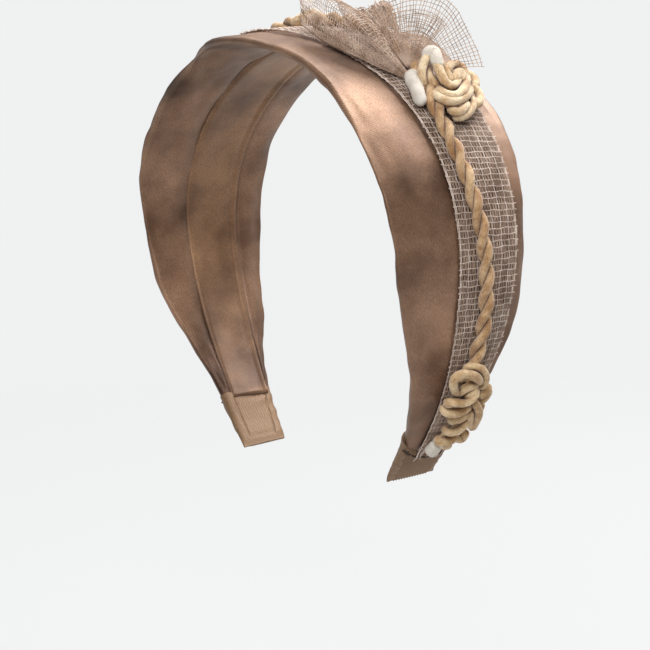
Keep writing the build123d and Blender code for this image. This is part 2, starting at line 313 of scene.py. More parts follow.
def face_height(s, y):
    """Height of the domed outer face at y, from its middle line."""
    rise = follow(CROWN_RISE, s)
    reach = follow(HALF_WIDTH, s) - (BAND_THICK - rise) / 2
    dome = (reach**2 + rise**2) / (2 * rise)
    return np.sqrt(np.maximum(dome**2 - (y - sway(s)) ** 2, 0)) - dome


def at_height(s, y, height):
    """World points, in metres, from s, y and the height over the face's middle line."""
    s, y, height = np.broadcast_arrays(*(np.asarray(v, float) for v in (s, y, height)))
    x, z, out_x, out_z = arch(s)
    return np.stack([x + out_x * height, y, z + out_z * height], -1) * MM


def on_band(s, y, lift):
    """World points, in metres, from s, y and the lift over the outer face."""
    return at_height(s, y, face_height(s, y) + lift)


print("half length of the band:", round(HALF_LENGTH, 1), "mm")

# %% [markdown]
# Cloth is never quite even.  A sum of a few long sine waves with seeded phases gives soft
# ripples that come out the same each time.  Two mesh builders follow: one skins a row of
# rings into cloth, with a UV map in metres, and one spins yarn round a line of points.

# %% Ripples, cloth and yarn meshes
chance = np.random.default_rng(11)


def ripple(a, b, length, amount, count=5):
    """Soft ripples over coordinates a and b, about length apart and amount high."""
    total = 0.0
    for _ in range(count):
        size = length * chance.uniform(0.5, 1.5)
        heading = chance.uniform(0, math.tau)
        phase = chance.uniform(0, math.tau)
        total = total + np.sin(math.tau * (a * math.cos(heading) + b * math.sin(heading)) / size + phase)
    return amount * total / math.sqrt(count)


def to_object(name, points, faces, uv, materials, face_material=None):
    """A smooth mesh object from points, faces and one UV pair for each face corner."""
    mesh = bpy.data.meshes.new(name)
    mesh.from_pydata(np.asarray(points).tolist(), [], faces)
    layer = mesh.uv_layers.new(name="cloth")
    layer.data.foreach_set("uv", np.asarray(uv, np.float32).ravel())
    for material in materials:
        mesh.materials.append(material)
    if face_material is not None:
        mesh.polygons.foreach_set("material_index", np.asarray(face_material, np.int32))
    mesh.polygons.foreach_set("use_smooth", np.full(len(mesh.polygons), True))
    mesh.update()
    piece = bpy.data.objects.new(name, mesh)
    bpy.context.scene.collection.objects.link(piece)
    return piece


def tube(rows, around, u, v, start=0):
    """Faces round rows of points, with two flat ends, and a UV pair for each face corner."""
    i, j = np.meshgrid(np.arange(rows - 1), np.arange(around), indexing="ij")
    corners = [(i, j), (i, j + 1), (i + 1, j + 1), (i + 1, j)]
    quads = np.stack([start + a * around + b % around for a, b in corners], -1)
    uv = np.stack([np.stack([u[a], v[a, b]], -1) for a, b in corners], -2)
    first = start + np.arange(around)[::-1]
    last = start + (rows - 1) * around + np.arange(around)
    faces = quads.reshape(-1, 4).tolist() + [first.tolist(), last.tolist()]
    return faces, np.concatenate([uv.reshape(-1, 2), np.zeros((2 * around, 2))])


def skin(name, rings, material):
    """Closed cloth through rings of points, shaped (rings, points, 3), with flat ends."""
    rows, around = rings.shape[:2]
    u = np.concatenate([[0], np.cumsum(np.linalg.norm(np.diff(rings, axis=0), axis=2).mean(1))])
    loop = np.concatenate([rings, rings[:, :1]], 1)
    steps = np.linalg.norm(np.diff(loop, axis=1), axis=2)
    v = np.concatenate([np.zeros((rows, 1)), np.cumsum(steps, 1)], 1)
    faces, uv = tube(rows, around, u, v)
    return to_object(name, rings.reshape(-1, 3), faces, uv, [material])


def lengths(line):
    """How far along a line of points each of them lies."""
    return np.concatenate([[0], np.cumsum(np.linalg.norm(np.diff(line, axis=0), axis=1))])


def frames_along(line):
    """Two crosswise directions, for each point of a line, that do not spin along it."""
    tangent = np.gradient(line, axis=0)
    tangent /= np.linalg.norm(tangent, axis=1, keepdims=True) + 1e-12
    side = np.cross(tangent[0], (0.0, 0.0, 1.0))
    if np.linalg.norm(side) < 0.1:
        side = np.cross(tangent[0], (0.0, 1.0, 0.0))
    sides = []
    for t in tangent:
        side = side - t * (side @ t)
        side = side / np.linalg.norm(side)
        sides.append(side)
    sides = np.array(sides)
    return sides, np.cross(tangent, sides)


def spin_yarn(name, lines, radii, materials, sides, line_material=None):
    """Round yarn along each line of points; radii holds one number or array for each line."""
    points, faces, uv, which = [], [], [], []
    turn = np.linspace(0, math.tau, sides, endpoint=False)
    start = 0
    for n, (line, radius) in enumerate(zip(lines, radii)):
        across, up = frames_along(line)
        radius = np.broadcast_to(np.asarray(radius, float), len(line))
        ring = across[:, None] * np.cos(turn)[:, None] + up[:, None] * np.sin(turn)[:, None]
        points.append((line[:, None] + ring * radius[:, None, None]).reshape(-1, 3))
        v = np.arange(sides + 1) / sides * math.tau * float(radius.mean())
        line_faces, line_uv = tube(len(line), sides, lengths(line), np.tile(v, (len(line), 1)), start)
        faces.extend(line_faces)
        uv.append(line_uv)
        which.extend([line_material[n] if line_material else 0] * len(line_faces))
        start += len(line) * sides
    return to_object(name, np.concatenate(points), faces, np.concatenate(uv), materials, which)


LINE_STEP = 0.4 * MM


def smooth_line(points, step=LINE_STEP):
    """A smooth line through given points, with a point every step."""
    p = np.asarray(points, float)
    p = np.concatenate([[2 * p[0] - p[1]], p, [2 * p[-1] - p[-2]]])
    out = []
    for a, b, c, d in zip(p, p[1:], p[2:], p[3:]):
        count = max(2, int(np.linalg.norm(c - b) / step))
        t = np.arange(count)[:, None] / count
        bend, turn = 2 * a - 5 * b + 4 * c - d, 3 * b - a - 3 * c + d
        out.append(0.5 * (2 * b + (c - a) * t + bend * t**2 + turn * t**3))
    return np.concatenate(out + [p[-2:-1]])


print("tools ready")

# %% [markdown]
# The cover is satin wrapped round wadding, so it is one closed padded form: domed outside,
# with soft rolled edges, and two flaps inside that puff up beside the lining.  Each station
# along the arch gets a ring of points.  The edges run straight from kink to kink, because
# the cloth is pulled over the core, and long shallow folds run lengthwise.  The band is made as
# two halves that meet at the top.

# %% The satin cover
CAP_AT = 174.6  # where the caps begin
STATION = 1.4  # from ring to ring
SEAM_RING = 0.03  # the second ring, so that the halves shade alike where they meet
RING = (64, 10, 60)  # points over the outer face, round each edge and over the inside
LINING_HALF = [(0, 10.6), (110, 9.8), (175, 7.2)]
LINING_SHIFT = [(0, 4.4), (70, 3.6), (116, 2.1), (175, 0.6)]
FLAP_PUFF = 0.9
COVER_END, LINING_END = 6.0, 3.0  # how far each runs on inside the cap
FRONT_KINKS = {
    1: [(0, 0), (24, 0.5), (52, -0.3), (76, 0.5), (94, -0.5), (114, 0), (132, -1), (150, -1.5), (164, -1.3),
        (176, -1), (195, 0)],
    -1: [(0, 0), (26, -0.6), (50, 0.9), (70, -0.5), (91, 1.0), (110, -0.4), (128, 0.6), (150, -0.5),
         (195, 0)],
}
BACK_KINKS = {
    1: [(0, 0), (30, 0.5), (60, -0.5), (84, 0.5), (108, -0.3), (132, 0.5), (158, -0.4), (195, 0)],
    -1: [(0, 0), (22, -0.4), (48, 0.6), (80, -0.6), (104, 0.3), (126, -0.5), (150, 0.5), (195, 0)],
}


def section(s, grow=0.0, counts=RING, puff=0.0):
    """One ring of the cover at s, as (y, height) pairs."""
    outer, rim, inner = counts
    rise = read(CROWN_RISE, s)
    thick = BAND_THICK - rise + 2 * grow
    reach = read(HALF_WIDTH, s) + grow - thick / 2
    mid = sway_at(s)
    across = np.linspace(-1, 1, outer, endpoint=False) * reach + mid
    top = face_height(np.full(outer, float(s)), across) + grow
    turn = np.linspace(math.pi / 2, -math.pi / 2, rim, endpoint=False)
    centre = grow - rise - thick / 2
    edge = np.stack([np.cos(turn), np.sin(turn)], 1) * thick / 2
    back, front = edge + (mid + reach, centre), (mid - reach, centre) - edge
    inside = np.linspace(1, -1, inner, endpoint=False) * reach + mid
    lining, half = mid + read(LINING_SHIFT, s), read(LINING_HALF, s)
    seam_back, seam_front = lining + half, lining - half
    over = np.maximum((inside - seam_back) / (mid + reach - seam_back), 0)
    under = np.maximum((seam_front - inside) / (seam_front - mid + reach), 0)
    share = np.clip(over + under, 0, 1)
    bottom = centre - thick / 2 - puff * np.sin(math.pi * share**0.6)
    return np.concatenate([np.stack([across, top], 1), back, np.stack([inside, bottom], 1), front])


def under_lining(s, rings_y):
    """1 for points of a ring that the lining covers, 0 for the rest."""
    hidden = np.zeros(rings_y.shape)
    flat = slice(RING[0] + RING[1], sum(RING))
    away = np.abs(rings_y - sway(s) - follow(LINING_SHIFT, s)) - follow(LINING_HALF, s)
    hidden[:, flat] = np.clip(-away[:, flat] / 2.0, 0, 1)
    return hidden


def puffed(rings, height):
    """A row of rings pushed outward by this height, in mm, at each point."""
    around = np.roll(rings, -1, 1) - np.roll(rings, 1, 1)
    along = np.gradient(rings, axis=0)
    normal = np.cross(around, along)
    normal = normal / (np.linalg.norm(normal, axis=2, keepdims=True) + 1e-12)
    return rings + normal * (height * MM)[..., None]


def stations_to(far, side):
    """The places of the rings on one side of the arch, in rising order."""
    s = np.insert(np.arange(0, far, STATION), 1, SEAM_RING)
    return s if side > 0 else -s[::-1]


def cover_half(side, arm):
    """Half of the cover, from the top of the arch to inside the cap."""
    stations = stations_to(CAP_AT + COVER_END, side)
    rings = []
    for s in stations:
        tuck = min(1.0, max(0.0, (CAP_AT + 2.0 - abs(s)) / 6.0))
        ring = section(s, puff=FLAP_PUFF * tuck)
        rings.append(at_height(np.full(len(ring), s), ring[:, 0], ring[:, 1]))
    rings = np.array(rings)
    s = np.repeat(stations[:, None], rings.shape[1], 1)
    y = rings[..., 1] / MM
    across = (y - sway(s)) / follow(HALF_WIDTH, s)
    front = straight(FRONT_KINKS[side], np.abs(s))
    back = straight(BACK_KINKS[side], np.abs(s))
    rings[..., 1] += (np.clip(across, 0, 1) ** 2 * back - np.clip(-across, 0, 1) ** 2 * front) * MM
    folds = ripple(s / 3.5, y, 15, 0.30, 7) + ripple(s / 1.5, y, 40, 0.25, 4) + ripple(s, y, 9, 0.05, 6)
    pinch = ripple(s, 3 * y, 20, 0.16, 5) * np.abs(across) ** 4
    still = np.clip(np.abs(s) / 8.0, 0, 1) * np.clip((CAP_AT + 3 - np.abs(s)) / 12, 0.2, 1)
    calm = 1 - under_lining(s, y)
    piece = skin(f"satin_cover_{arm}", puffed(rings, (folds + pinch) * still * calm), cover_satin)
    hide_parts("cover_crown", "pad_crown", f"cover_{arm}", f"pad_{arm}")
    return piece


def bend_with(piece):
    """Bake a piece's placement into its mesh."""
    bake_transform(piece)


for side, arm in ARMS:
    bend_with(cover_half(side, arm))
print("cover halves made")

# %% [markdown]
# The lining is a flat strip that hides the edges of the two flaps.  It is slip-stitched down:
# its front edge sinks into a deep seam, and its back edge is folded under and stands up as a
# small ridge.

# %% The lining strip
LINING_THICK = 0.6


def lining_half(side, arm):
    """Half of the lining: its upper face lies flat in the cover, and its lower one has the ridge."""
    stations = stations_to(CAP_AT + LINING_END, side)
    count = 31  # points on each face
    across = np.linspace(-1, 1, count)
    rings = []
    for s in stations:
        mid = sway_at(s) + read(LINING_SHIFT, s)
        y = mid + read(LINING_HALF, s) * across
        ridge = 0.5 * np.exp(-(((across - 0.9) / 0.08) ** 2)) - 0.3 * np.exp(-(((across - 0.74) / 0.1) ** 2))
        sink = 0.9 * np.clip((-across - 0.8) / 0.2, 0, 1) ** 2
        low = -BAND_THICK - LINING_THICK - 0.1 - ridge + sink + 0.35 * np.clip((across - 0.96) / 0.04, 0, 1)
        ring_y = np.concatenate([y, y[::-1]])
        ring_n = np.concatenate([np.full(count, -BAND_THICK + 0.35), low[::-1]])
        rings.append(at_height(np.full(2 * count, s), ring_y, ring_n))
    rings = np.array(rings)
    s = np.repeat(stations[:, None], 2 * count, 1)
    y = rings[..., 1] / MM
    wave = (ripple(s / 2.5, y, 18, 0.16, 6) + ripple(s, y, 12, 0.05, 5)) * np.clip(np.abs(s) / 6, 0, 1)
    piece = skin(f"lining_strip_{arm}", puffed(rings, wave), lining_satin)
    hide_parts("lining_crown", f"lining_{arm}")
    return piece


for side, arm in ARMS:
    bend_with(lining_half(side, arm))
print("lining made")

# %% [markdown]
# Each end of the band is tucked into a small satin pocket, one size up from the band.  It is
# pressed flat towards its tip, which has a sharp seam and two square corners, the front one
# drawn out to a point on the right.  Fine ribs of gathered cloth run down from its mouth.  On the
# outer face the mouth is cut in a curve that rises at the front.

# %% End caps
CAP_STEP = 0.4  # how far the cap stands over the band
CAP_DEPTH = 2.85  # the level that it is pressed towards
# How far each tip is raised, slanted, drawn out and moved aside, on the right (1) and left (-1).
TIP_LIFT = {1: 1.0, -1: 0.2}
TIP_SLANT = {1: 1.0, -1: 0.7}
TIP_LONG = {1: 3.0, -1: 1.8}
TIP_SHIFT = {1: 2.9, -1: -1.5}
MOUTH = {1: [(-12, 1.8), (-9, 3.2), (-6, 5.0), (-3, 5.8), (4, 6.6), (12, 7.0)], -1: [(-12, 0.6), (12, 0.6)]}


def fasten(piece, slot, body, *nodes):
    """Let a piece ride on a body, in place of these CAD nodes.  The slot is not used."""
    if nodes:
        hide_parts(*nodes)
    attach(piece, body)


def end_cap(side, arm):
    """One cap: t goes from 0 at its mouth to 1 at its tip, and face is 1 on the outer side."""
    stations = np.concatenate([[CAP_AT - 0.5, CAP_AT - 0.4], np.arange(CAP_AT, HALF_LENGTH - 0.3, 0.6),
                               [HALF_LENGTH, HALF_LENGTH + 0.3]])
    outer, rim, inner = 110, 8, 90
    face = np.concatenate([np.ones(outer), np.linspace(1, 0, rim), np.zeros(inner), np.linspace(0, 1, rim)])
    rings, all_s = [], []
    for s in stations:
        t = min(1.0, max(0.0, (s - CAP_AT) / (HALF_LENGTH - CAP_AT)))
        ring = section(side * s, CAP_STEP, (outer, rim, inner))
        mid = sway_at(side * s)
        centre = np.array([mid, -CAP_DEPTH + TIP_LIFT[side] * max(0.0, (t - 0.86) / 0.14)])
        flat = 1 - 0.62 * t**1.3 - 0.28 * max(0.0, (t - 0.9) / 0.1)
        ring = centre + (ring - centre) * np.array([1 + 0.02 * t, flat])
        slip = TIP_SLANT[side] * (mid - ring[:, 0]) / 9.0 * t**2
        ahead = face * (straight(MOUTH[side], ring[:, 0] - mid) - 0.5) * (1 - t) ** 1.5
        u = np.abs(ring[:, 0] - mid) / (read(HALF_WIDTH, s) - 1.5)
        side_seams = np.exp(-(((u - 0.8) / 0.05) ** 2)) * (0.1 < t < 0.88)
        end_seam = (u < 0.8) * math.exp(-(((t - 0.88) / 0.025) ** 2))
        ring[:, 1] += 0.32 * (side_seams + end_seam) * (face < 0.5)
        ahead_of_mid = np.clip((mid - ring[:, 0]) / read(HALF_WIDTH, s), 0, 1)
        ring[:, 0] -= ahead_of_mid**2 * straight(FRONT_KINKS[side], s)
        ring[:, 0] += TIP_SHIFT[side] * t**1.8
        along = side * (s + slip + ahead + TIP_LONG[side] * t**3)
        rings.append(at_height(along, ring[:, 0], ring[:, 1]))
        all_s.append(along)
    if side < 0:
        rings, all_s = rings[::-1], all_s[::-1]
    rings, s = np.array(rings), np.array(all_s)
    y = rings[..., 1] / MM
    t = np.clip((np.abs(s) - CAP_AT) / (HALF_LENGTH - CAP_AT), 0, 1)
    ribs = 0.26 * np.sin(math.tau * y / 0.95 + 0.4 * np.sin(s / 3.0)) * (0.15 + 0.95 * face) * (1 - 0.4 * t)
    dents = ripple(s, y, 10, 0.16, 5)
    piece = skin(f"end_cap_{arm}_satin", puffed(rings, ribs + dents * (1 - t)), cap_satin)
    fasten(piece, "satin_cover", f"{arm}_arm", f"end_cap_{arm}")


for side, arm in ARMS:
    end_cap(side, arm)
print("end caps made")

# %% [markdown]
# The net is an open plain weave, so it is woven here thread by thread: lengthwise threads go
# over and under the crosswise ones.  The same number of lengthwise threads runs the whole way,
# and they bunch where the strip narrows.  Crosswise threads stick out a little at the edges,
# where the net was cut.

# %% Weaving
def wobble(at, slow, quick):
    """A thread's slow wandering beside its straight line, from -2 to 2."""
    phase = chance.uniform(0, math.tau, 2)
    return np.sin(at * slow + phase[0]) + np.sin(at * quick + phase[1])


def weave(name, place, lengthwise, crosswise, length_range, cross_range, step, fray, radius=0.1, wander=0.12,
          edge=0, loose=0.0, yarns=(bow_yarn, bow_yarn), pale=0):
    """A net over a surface.  place(a, b, lift) gives points, with a along and b across.

    Threads end up to fray past the sides and up to loose past the far end.  Edge adds crowded
    threads at each side, and every pale-th lengthwise thread has the crosswise threads' colour.
    """
    threads = []
    a0, a1 = length_range
    b0, b1 = cross_range
    pitch_b = (b1 - b0) / max(lengthwise - 1, 1)
    pitch_a = (a1 - a0) / max(crosswise - 1, 1)
    rows = [(b0 + i * pitch_b, i, int(pale > 0 and i % pale == 0)) for i in range(lengthwise)]
    for k in range(edge):
        inset = (k + 0.45) * 0.45 * pitch_b
        rows += [(b0 + inset, k + 1, k % 2), (b1 - inset, k + 1, k % 2)]
    for b, i, kind in rows:
        a = np.arange(a0, a1 + step / 2 + loose * chance.uniform(0.1, 1.0), step)
        shift = wander * pitch_b * wobble(a / pitch_a, 0.31, 0.83)
        over = np.sin(math.pi * (a - a0) / pitch_a + math.pi * i)
        line = place(a, np.full_like(a, b) + shift, 0.7 * radius * over)
        threads.append((line, radius * MM * chance.uniform(0.75, 1.1), kind))
    for j in range(crosswise):
        out0, out1 = chance.uniform(0.2, 1.0, 2) * fray
        b = np.arange(b0 - out0, b1 + out1, step * pitch_b / pitch_a)
        shift = 0.5 * wander * pitch_a * wobble(b / pitch_b, 0.2, 0.6)
        under = -np.sin(math.pi * (b - b0) / pitch_b + math.pi * j)
        past = np.maximum(0, np.maximum(b0 - b, b - b1)) / max(fray, 1e-6)
        line = place(np.full_like(b, a0 + j * pitch_a) + shift, b, 0.7 * radius * under + 0.5 * past)
        threads.append((line, radius * MM * chance.uniform(0.85, 1.2), 1))
    area = sum(math.tau * thick * lengths(line)[-1] for line, thick, _ in threads)
    print(name, len(threads), "threads with", round(area, 5), "square metres of surface")
    lines, radii, which = zip(*threads)
    return spin_yarn(name, lines, radii, yarns, sides=5, line_material=which)


NET_LIFT = 0.75
NET_LONG = 177.5
NET_HALF = [(0, 19.0), (40, 16.0), (62, 12.4), (136, 9.4), (175, 3.2)]
NET_SHIFT = [(0, -1.2), (58, 1.4), (136, 3.2), (175, -0.6)]


def net_strip(side, arm):
    def place(a, b, lift):
        s = side * a
        y = follow(NET_SHIFT, s) + follow(NET_HALF, s) * b
        return on_band(s, y, NET_LIFT + lift)

    piece = weave(f"net_strip_{arm}_threads", place, 43, 105, (0.0, NET_LONG), (-1.0, 1.0), 0.85, 0.085,
                  radius=0.14, edge=2, yarns=(warp_yarn, weft_yarn), pale=6)
    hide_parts("net_strip_crown", f"net_strip_{arm}")
    bend_with(piece)


for side, arm in ARMS:
    net_strip(side, arm)
print("net strip woven")

# %% [markdown]
# Where the strip goes into a cap its net is cut, and cut net frays.  A few short threads drift
# over the cap from two places of its mouth, each lifting as it turns aside.

# %% Frayed ends of the strip
FRAY_FROM = 176.0
for side, arm in ARMS:
    ends = []
    for _ in range(20):
        y = chance.normal(-2.8, 1.0) if chance.uniform() < 0.55 else chance.normal(4.6, 1.3)
        far = chance.uniform(2.0, 6.0)
        s = FRAY_FROM + np.linspace(0, far, 5)
        drift = np.cumsum(chance.normal(0, 0.35, 5))
        lift = 1.0 + 0.25 * np.abs(drift) + np.linspace(0, 0.5, 5)
        ends.append(smooth_line(on_band(side * s, y + drift, lift)))
    frayed = spin_yarn(f"frayed_ends_{arm}", ends, [0.1 * MM] * len(ends), [weft_yarn], sides=5)
    fasten(frayed, "open_net", f"{arm}_arm")
print("ends frayed")

# %% [markdown]
# The cord is two plies twisted round each other and sewn down along the strip.  Its route is a
# smooth NURBS curve through the same points as the CAD cord.  Blender turns the curve into a
# line of points, and each ply winds round that line.

# %% The cord
CORD_LIFT = 3.4
CORD_ROUTE = [(-149, -0.5), (-138, 1.3), (-126, 1.2), (-110, -0.7), (-95, -3.0), (-80, -5.1), (-64, -4.6),
    (-48, -3.0), (-31, -2.2), (-14, -1.8), (3, -0.4), (20, 2.4), (36, 2.8), (50, 0.4), (62, -3.4),
    (80, -5.1), (95, -3.0), (110, -0.7), (126, 1.2), (138, 1.3), (149, -0.5)]
LAY = 14.6 * MM  # the length of one full twist
PLY = 1.24 * MM  # radius of a ply
PLY_OFF = 1.06 * MM  # from the cord's middle to a ply's


def nurbs_line(points):
    """Points along the smooth NURBS curve of a route."""
    curve = bpy.data.curves.new("route", "CURVE")
    curve.dimensions = "3D"
    curve.resolution_u = 24
    spline = curve.splines.new("NURBS")
    spline.points.add(len(points) - 1)
    for control, place in zip(spline.points, points):
        control.co = (*place, 1.0)
    spline.order_u = 3
    spline.use_endpoint_u = True
    holder = bpy.data.objects.new("route", curve)
    bpy.context.scene.collection.objects.link(holder)
    mesh = bpy.data.meshes.new_from_object(holder)
    line = np.array([v.co for v in mesh.vertices])
    bpy.data.objects.remove(holder)
    bpy.data.meshes.remove(mesh)
    return line


def evenly(line, step):
    """The same line with points an even step apart, and how far along it each lies."""
    far = lengths(line)
    want = np.linspace(0, far[-1], max(2, int(far[-1] / step)))
    return read_rows(far, line, want), want


route = nurbs_line(on_band(*np.array(CORD_ROUTE, float).T, CORD_LIFT))
core, far = evenly(route, 0.45 * MM)
middle = int(np.argmin(np.abs(core[:, 0]) + (core[:, 2] < 0)))
across, up = frames_along(core)
for arm, part in (("left", slice(0, middle + 1)), ("right", slice(middle, len(core)))):
    plies = []
    for k in range(2):
        turn = math.tau * far[part] / LAY + math.pi * k
        offset = across[part] * np.cos(turn)[:, None] + up[part] * np.sin(turn)[:, None]
        plies.append(core[part] + offset * PLY_OFF)
    piece = spin_yarn(f"twisted_cord_{arm}", plies, [PLY, PLY], [cord_yarn], sides=16)
    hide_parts("cord_crown", f"cord_{arm}")
    bend_with(piece)
print("cord length:", round(far[-1], 3), "m")

# %% [markdown]
# Each knot is the same cord tied loosely on itself, so its plies lie in loops that pass over and
# under one another.  Every loop is a smooth line through a few listed points (s, y, lift).

# %% Knots
UPPER_LOOPS = {
    "left_leg": [(55.3, 0.3, 9.4), (56.7, -2, 8.8), (58.1, -3.5, 7.4), (59.7, -4.4, 6), (60.9, -4.1, 4.6),
        (61.8, -2.8, 3.4)],
    "right_leg": [(55.1, 0.6, 9.4), (57.5, 0.3, 9.4), (59.9, -0.4, 8.8), (62.4, -0.6, 8.2),
        (64.9, -0.5, 7.6), (65.8, 1.1, 7), (65.2, 3.6, 6.4), (63.4, 5.8, 6.6), (61.4, 6.6, 6.6)],
    "rear_leg": [(55.7, 2.2, 8.6), (57.9, 2.7, 7.8), (60, 3.2, 7.2), (62.1, 3.5, 6.6), (64, 4.2, 5.6)],
    "inner_ply": [(57.8, -1.1, 6.4), (60.1, -2, 6), (62.4, -2.2, 5.6), (63.8, -1.1, 5), (63.9, 0.2, 4.2)],
    "hood": [(61.2, 3, 7), (59.2, 4.9, 7.4), (57.8, 7.5, 7.4), (57.6, 9.6, 7.2), (58.6, 10.8, 6.8),
        (60.7, 10.4, 6.4), (63, 8.9, 6), (64.1, 7.2, 5.6)],
    "eyelet": [(64.3, 5, 6.4), (62.8, 5.3, 7.2), (61.2, 7, 7.4), (61, 8.5, 7.2), (62.4, 8, 7),
        (64.1, 6.5, 6.6)],
    "middle_sling": [(63.8, -0.4, 4.4), (67.2, -2.4, 6), (69.4, -1.8, 7), (69.7, 0.6, 7.2), (68.4, 3.7, 7),
        (65.9, 6.8, 6.6), (62.7, 9.8, 6.2), (59.8, 11.8, 5.6)],
    "middle_sling_b": [(65.2, -2.2, 4), (68.8, -3.8, 5.6), (70.8, -2.9, 6.4), (71.3, -0.2, 6.6),
        (70.1, 3.5, 6.4), (67.6, 7.2, 6), (64.8, 10, 5.4)],
    "short_sling": [(69.7, -1.1, 4.4), (71.2, -0.6, 5.2), (71.3, 1.5, 5.2), (69.8, 4, 4.8)],
    "lower_sling": [(71.1, -0.8, 4), (73, -1, 4.8), (73.4, 0.8, 5), (72.1, 3.5, 5), (69.8, 6.2, 4.4)],
    "outer_sling": [(72.8, -0.1, 3), (74.1, 0.8, 3.4), (73.7, 3.5, 3.8), (72, 6.4, 4.2), (70.3, 7.8, 4.6),
        (68.7, 7.8, 4.8), (68.4, 7, 4.2)],
    "pale_loop": [(57, 11.6, 4.2), (58, 13.3, 4.6), (58.6, 14.5, 4.8), (60.1, 15.2, 4.8), (62.1, 14.6, 4.6),
        (63.2, 12.8, 4.4)],
    "right_loop": [(63.4, 11.1, 4.6), (64.1, 12.5, 4.8), (65.6, 13.3, 4.6), (67.6, 12.9, 4.2),
        (69.2, 11.3, 3.6), (69, 10.4, 3.4), (67.1, 10.9, 3.6)],
    "under_coil": [(60, 0, 2.8), (63, 2, 3.4), (66, 1, 3.6), (69, 1, 3), (68, 5, 3), (65, 8, 3.4),
        (61, 8, 3.4), (59, 4, 3.4), (61, 2, 4.6), (64, 3, 4.8), (67, 4, 4.4)],
}
LOWER_LOOPS = {
    "top_outer": [(145.7, -1.1, 2.8), (144, -2.1, 4.2), (143.2, -0.8, 5.2), (144.2, 1.8, 5.8),
        (146.6, 3.8, 6), (149.4, 4.5, 5.6), (150.9, 4.2, 4.6)],
    "top_inner": [(153.9, -0.5, 3.2), (151.5, -4.3, 4.8), (147.7, -7.5, 6.2), (144.8, -8.1, 6.8),
        (143.9, -6.1, 7), (144.5, -3, 7), (146.2, 0.2, 6.6), (148.7, 2.8, 5.4)],
    "cross_1": [(154.8, -2.2, 3), (152, -3.5, 4.8), (149.7, -2.9, 5.8), (148.6, -1, 6.2),
        (149.1, 1.9, 5.4)],
    "cross_2": [(154.4, -1.1, 4.2), (151.7, -1.2, 6), (150.2, 0.1, 6.6), (149.5, 1.4, 5.6)],
    "left_1": [(156.8, -3.4, 3.4), (154.1, -6.4, 5.2), (153, -5.6, 6.8), (153.1, -2.8, 7.4),
        (152.3, -0.4, 7.4), (150.8, 0.7, 7), (149.7, 1, 5.8)],
    "left_2": [(159.2, -3.1, 2.8), (157, -6.1, 4.2), (157.3, -5.7, 5.4), (157.2, -3.3, 6.2),
        (156.4, -0.8, 6.4), (155.5, 1.5, 6)],
    "left_3": [(163.3, -0.1, 3), (161.4, -1.2, 4.2), (160.5, 0.2, 5.2), (159, 1.5, 5.4), (158.1, 2.6, 4.8)],
    "low_1": [(166.4, -0.4, 3), (165.4, -2, 4.2), (165.3, -0.8, 5.2), (164.5, 1.4, 5.6), (162.6, 2.7, 5.6),
        (161, 3.4, 4.8)],
    "drop_a": [(155.5, 2.2, 5), (154.8, 2.7, 6.6), (157.6, 5.1, 6.6), (161.5, 6.8, 6), (165.7, 8, 5),
        (165.3, 6.7, 4.6)],
    "drop_b": [(157.3, 3.1, 5), (159.4, 3.2, 5.4), (162.9, 5.1, 5.2), (166.4, 8.3, 4.4)],
    "right_1": [(154.1, 4.2, 4.8), (153.2, 5.9, 5.2), (152, 7.8, 4.6), (151.3, 7.9, 3.6)],
    "right_2": [(156.9, 6.5, 4), (155.6, 8.3, 4.4), (154.3, 9.9, 3.8), (153.2, 9.7, 3)],
    "right_3": [(159.3, 8.7, 3), (159.8, 10, 3.2), (162.3, 10.9, 3), (163.7, 10.5, 2.8)],
    "low_2": [(170.1, 4.4, 3), (170.7, 5.3, 4), (170.8, 6.7, 4.4), (169.3, 7.2, 4.4), (167.7, 7.1, 3.8)],
    "low_3": [(168.4, -3.2, 3.2), (169.8, -2.2, 4.2), (169.8, 0, 4.6), (169, 2, 4.6), (168.4, 3.1, 4)],
    "low_4": [(172, -0.2, 3.4), (173, 2.4, 3.6), (172.3, 3.9, 3.4)],
    "under_coil": [(147, -4, 2.8), (149, -1, 3.2), (151, 3, 3), (154, 4, 3), (157, 2, 3), (160, 5, 3),
        (163, 3, 2.8), (166, 4, 2.8), (169, 2, 2.6), (170, -1, 2.6)],
}


def knot(name, loops, side, radius, material, node, body, move=(0, 0), press=1.0):
    """A knot of loops with lumpy, rounded plies, moved along and across, and pressed flatter."""
    lines, radii = [], []
    for points in loops.values():
        p = np.array(points, float)
        line = smooth_line(on_band(side * (p[:, 0] + move[0]), p[:, 1] + move[1], p[:, 2] * press))
        run = np.arange(len(line)) * LINE_STEP / MM
        small, large = (np.sin(run / size + chance.uniform(0, 6)) for size in (1.3, 3.1))
        lumps = 1 + 0.05 * small + 0.06 * large
        to_end = np.clip(np.minimum(run, run[::-1]) / radius, 0.02, 1)
        lines.append(line)
        radii.append(radius * MM * lumps * np.sqrt(1 - (1 - to_end) ** 2))
    piece = spin_yarn(name, lines, radii, [material], sides=16)
    fasten(piece, "twisted_cord", body, node)


# The knots wear the lighter copies of the cord's yarn, with light painted into their colour.
knot("rosette_knot_right", UPPER_LOOPS, 1, 1.32, upper_knot_yarn_painted_light, "knot_upper_right", "crown")
knot("rosette_knot_left", UPPER_LOOPS, -1, 1.25, upper_knot_yarn_painted_light, "knot_upper_left", "crown", (-53, 2), 0.55)
for side, arm in ARMS:
    knot(f"chain_knot_{arm}", LOWER_LOOPS, side, 1.32, lower_knot_yarn_painted_light, f"knot_lower_{arm}", f"{arm}_arm",
         (0, 0 if side > 0 else 2))
print("knots tied")

# %% [markdown]
# Small fittings close the cord and the bow: white cotton wound round the throat of the bow,
# a white dip over the knot's top loop, and a white stub where the cord ends.  The stubs start as
# spheres whose sides are filled out to a barrel, narrowed towards one end and made uneven.

